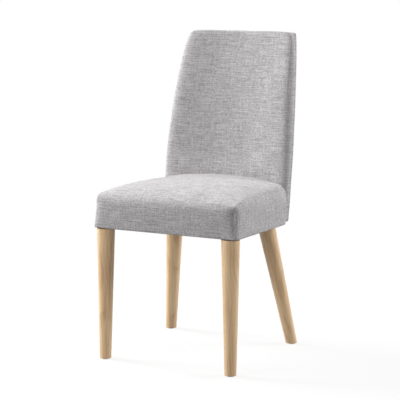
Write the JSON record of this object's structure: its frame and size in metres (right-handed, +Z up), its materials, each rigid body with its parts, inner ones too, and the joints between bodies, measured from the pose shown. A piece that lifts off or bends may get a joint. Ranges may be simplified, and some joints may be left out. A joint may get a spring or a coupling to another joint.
{
  "type": "upholstered side chair",
  "caption": "Armless upholstered dining chair with a crowned padded seat, a tall tapered hollow back and round tapered wooden legs, the rear ones raked and splayed.",
  "frame": {"origin": "on the floor, at the middle of the chair's outer box", "axes": "+Z up, -Y the way the seat faces, +X to the right as seen from the front"},
  "size_m": [0.4316, 0.5041, 0.8777],
  "materials": {
    "upholstery": "light warm grey slubbed linen-look weave",
    "leg_wood": "clear satin lacquer on pale ash",
    "frame_wood": "unfinished sawn hardwood",
    "plywood": "unfinished bent plywood",
    "foam": "open-cell polyurethane foam",
    "wadding": "polyester wadding",
    "webbing": "woven elastic strap",
    "dust_cloth": "black non-woven cloth",
    "zinc_steel": "zinc plated",
    "glide_nylon": "moulded nylon"
  },
  "bodies": {
    "root": {"back_bolt_lower_left": "zinc_steel", "back_bolt_lower_right": "zinc_steel", "back_bolt_upper_left": "zinc_steel", "back_bolt_upper_right": "zinc_steel", "back_foam": "foam", "back_front_cover": "upholstery", "back_left_stile": "frame_wood", "back_lower_rail": "frame_wood", "back_middle_rail": "frame_wood", "back_panel": "plywood", "back_rear_cover": "upholstery", "back_rear_padding": "wadding", "back_right_stile": "frame_wood", "back_top_rail": "frame_wood", "back_washer_lower_left": "zinc_steel", "back_washer_lower_right": "zinc_steel", "back_washer_upper_left": "zinc_steel", "back_washer_upper_right": "zinc_steel", "corner_block_front_left": "frame_wood", "corner_block_front_right": "frame_wood", "corner_block_rear_left": "frame_wood", "corner_block_rear_right": "frame_wood", "dowel_front_rail_left": "frame_wood", "dowel_front_rail_right": "frame_wood", "dowel_left_rail_front": "frame_wood", "dowel_left_rail_rear": "frame_wood", "dowel_rear_rail_left": "frame_wood", "dowel_rear_rail_right": "frame_wood", "dowel_right_rail_front": "frame_wood", "dowel_right_rail_rear": "frame_wood", "dust_cover": "dust_cloth", "foot_glide_front_left": "glide_nylon", "foot_glide_front_right": "glide_nylon", "foot_glide_rear_left": "glide_nylon", "foot_glide_rear_right": "glide_nylon", "front_left_leg": "leg_wood", "front_right_leg": "leg_wood", "hanger_bolt_front_left": "zinc_steel", "hanger_bolt_front_right": "zinc_steel", "hanger_bolt_rear_left": "zinc_steel", "hanger_bolt_rear_right": "zinc_steel", "rear_left_leg": "leg_wood", "rear_right_leg": "leg_wood", "seat_cover": "upholstery", "seat_foam": "foam", "seat_front_rail": "frame_wood", "seat_left_rail": "frame_wood", "seat_rear_rail": "frame_wood", "seat_right_rail": "frame_wood", "tee_nut_front_left": "zinc_steel", "tee_nut_front_right": "zinc_steel", "tee_nut_rear_left": "zinc_steel", "tee_nut_rear_right": "zinc_steel", "webbing_cross_1": "webbing", "webbing_cross_2": "webbing", "webbing_cross_3": "webbing", "webbing_long_1": "webbing", "webbing_long_2": "webbing", "webbing_long_3": "webbing"}
  },
  "joints": []
}
